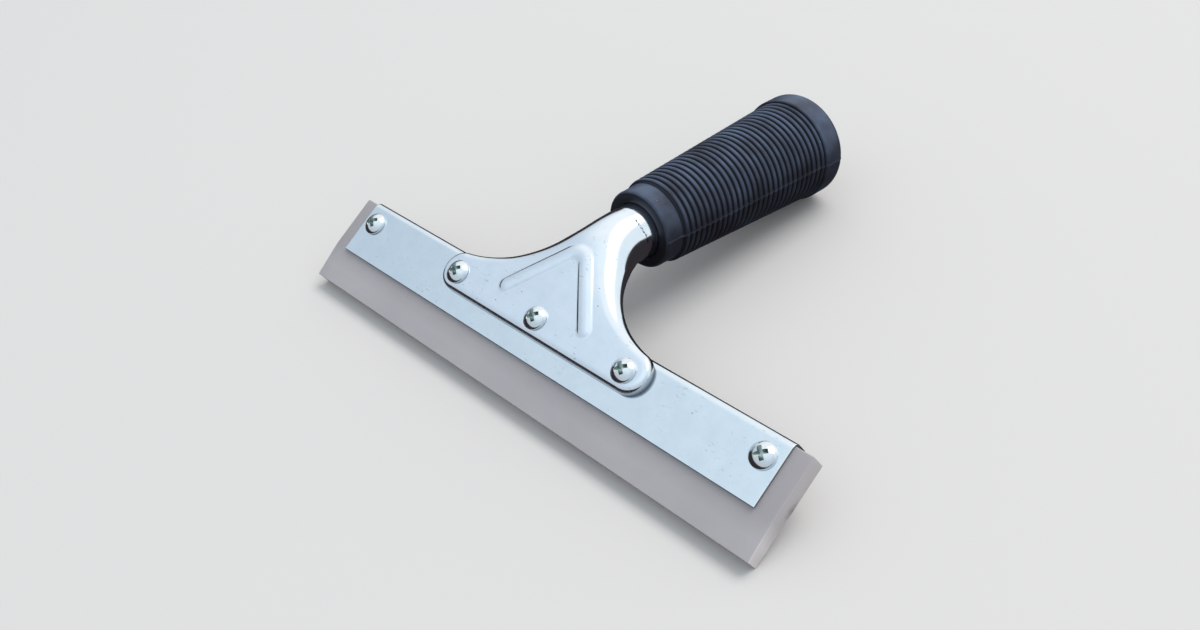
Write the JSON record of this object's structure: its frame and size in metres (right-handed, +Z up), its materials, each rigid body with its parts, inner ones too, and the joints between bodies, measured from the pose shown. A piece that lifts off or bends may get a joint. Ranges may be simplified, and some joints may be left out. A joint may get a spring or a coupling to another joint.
{
  "type": "hand squeegee",
  "caption": "Hand squeegee: rubber blade screwed into a folded steel channel, on a stamped bracket whose neck runs back into a ribbed grip.",
  "frame": {"origin": "on the table under the middle of the tool's box, the tool lying on its back", "axes": "+X along the blade towards its right end, +Y from the blade towards the end of the grip, +Z up, so that the bracket's face looks up"},
  "size_m": [0.2046, 0.1542, 0.0424],
  "materials": {
    "blade_rubber": "matt, slightly translucent grey",
    "channel_steel": "polished stainless sheet",
    "bracket_steel": "polished stainless sheet",
    "grip_rubber": "satin black",
    "screw_steel": "bright",
    "nut_steel": "plain bright steel",
    "spring_steel": "plain spring steel"
  },
  "bodies": {
    "tool": {"blade": "blade_rubber", "blade_channel": "channel_steel", "handle_bracket": "bracket_steel", "grip": "grip_rubber", "washer_left_end": "spring_steel", "washer_left": "spring_steel", "washer_centre": "spring_steel", "washer_right": "spring_steel", "washer_right_end": "spring_steel", "spacer_left": "nut_steel", "spacer_centre": "nut_steel", "spacer_right": "nut_steel"},
    "screw_left_end": {"screw_left_end": "screw_steel"},
    "screw_left": {"screw_left": "screw_steel"},
    "screw_centre": {"screw_centre": "screw_steel"},
    "screw_right": {"screw_right": "screw_steel"},
    "screw_right_end": {"screw_right_end": "screw_steel"},
    "nut_left_end": {"nut_left_end": "nut_steel"},
    "nut_left": {"nut_left": "nut_steel"},
    "nut_centre": {"nut_centre": "nut_steel"},
    "nut_right": {"nut_right": "nut_steel"},
    "nut_right_end": {"nut_right_end": "nut_steel"}
  },
  "joints": [
    {"name": "screw_left_end_turn", "type": "hinge", "parent": "tool", "child": "screw_left_end", "pos_m": [-0.09, -0.05536, 0.01951], "axis": [0, -0.4722, 0.8815], "range_deg": [0, 2165]},
    {"name": "screw_left_turn", "type": "hinge", "parent": "tool", "child": "screw_left", "pos_m": [-0.039, -0.05701, 0.02259], "axis": [0, -0.4722, 0.8815], "range_deg": [0, 2165]},
    {"name": "screw_centre_turn", "type": "hinge", "parent": "tool", "child": "screw_centre", "pos_m": [0, -0.05701, 0.02259], "axis": [0, -0.4722, 0.8815], "range_deg": [0, 2165]},
    {"name": "screw_right_turn", "type": "hinge", "parent": "tool", "child": "screw_right", "pos_m": [0.039, -0.05701, 0.02259], "axis": [0, -0.4722, 0.8815], "range_deg": [0, 2165]},
    {"name": "screw_right_end_turn", "type": "hinge", "parent": "tool", "child": "screw_right_end", "pos_m": [0.09, -0.05536, 0.01951], "axis": [0, -0.4722, 0.8815], "range_deg": [0, 2165]},
    {"name": "nut_left_end_travel", "type": "slide", "parent": "tool", "child": "nut_left_end", "axis": [0, 0.4722, -0.8815], "range_m": [0, 0.0042]},
    {"name": "nut_left_travel", "type": "slide", "parent": "tool", "child": "nut_left", "axis": [0, 0.4722, -0.8815], "range_m": [0, 0.0042]},
    {"name": "nut_centre_travel", "type": "slide", "parent": "tool", "child": "nut_centre", "axis": [0, 0.4722, -0.8815], "range_m": [0, 0.0042]},
    {"name": "nut_right_travel", "type": "slide", "parent": "tool", "child": "nut_right", "axis": [0, 0.4722, -0.8815], "range_m": [0, 0.0042]},
    {"name": "nut_right_end_travel", "type": "slide", "parent": "tool", "child": "nut_right_end", "axis": [0, 0.4722, -0.8815], "range_m": [0, 0.0042]}
  ],
  "couplings": [
    {"joint": "screw_left_end_turn", "follows": "nut_left_end_travel", "rad_per_m": 8976},
    {"joint": "screw_left_turn", "follows": "nut_left_travel", "rad_per_m": 8976},
    {"joint": "screw_centre_turn", "follows": "nut_centre_travel", "rad_per_m": 8976},
    {"joint": "screw_right_turn", "follows": "nut_right_travel", "rad_per_m": 8976},
    {"joint": "screw_right_end_turn", "follows": "nut_right_end_travel", "rad_per_m": 8976}
  ]
}
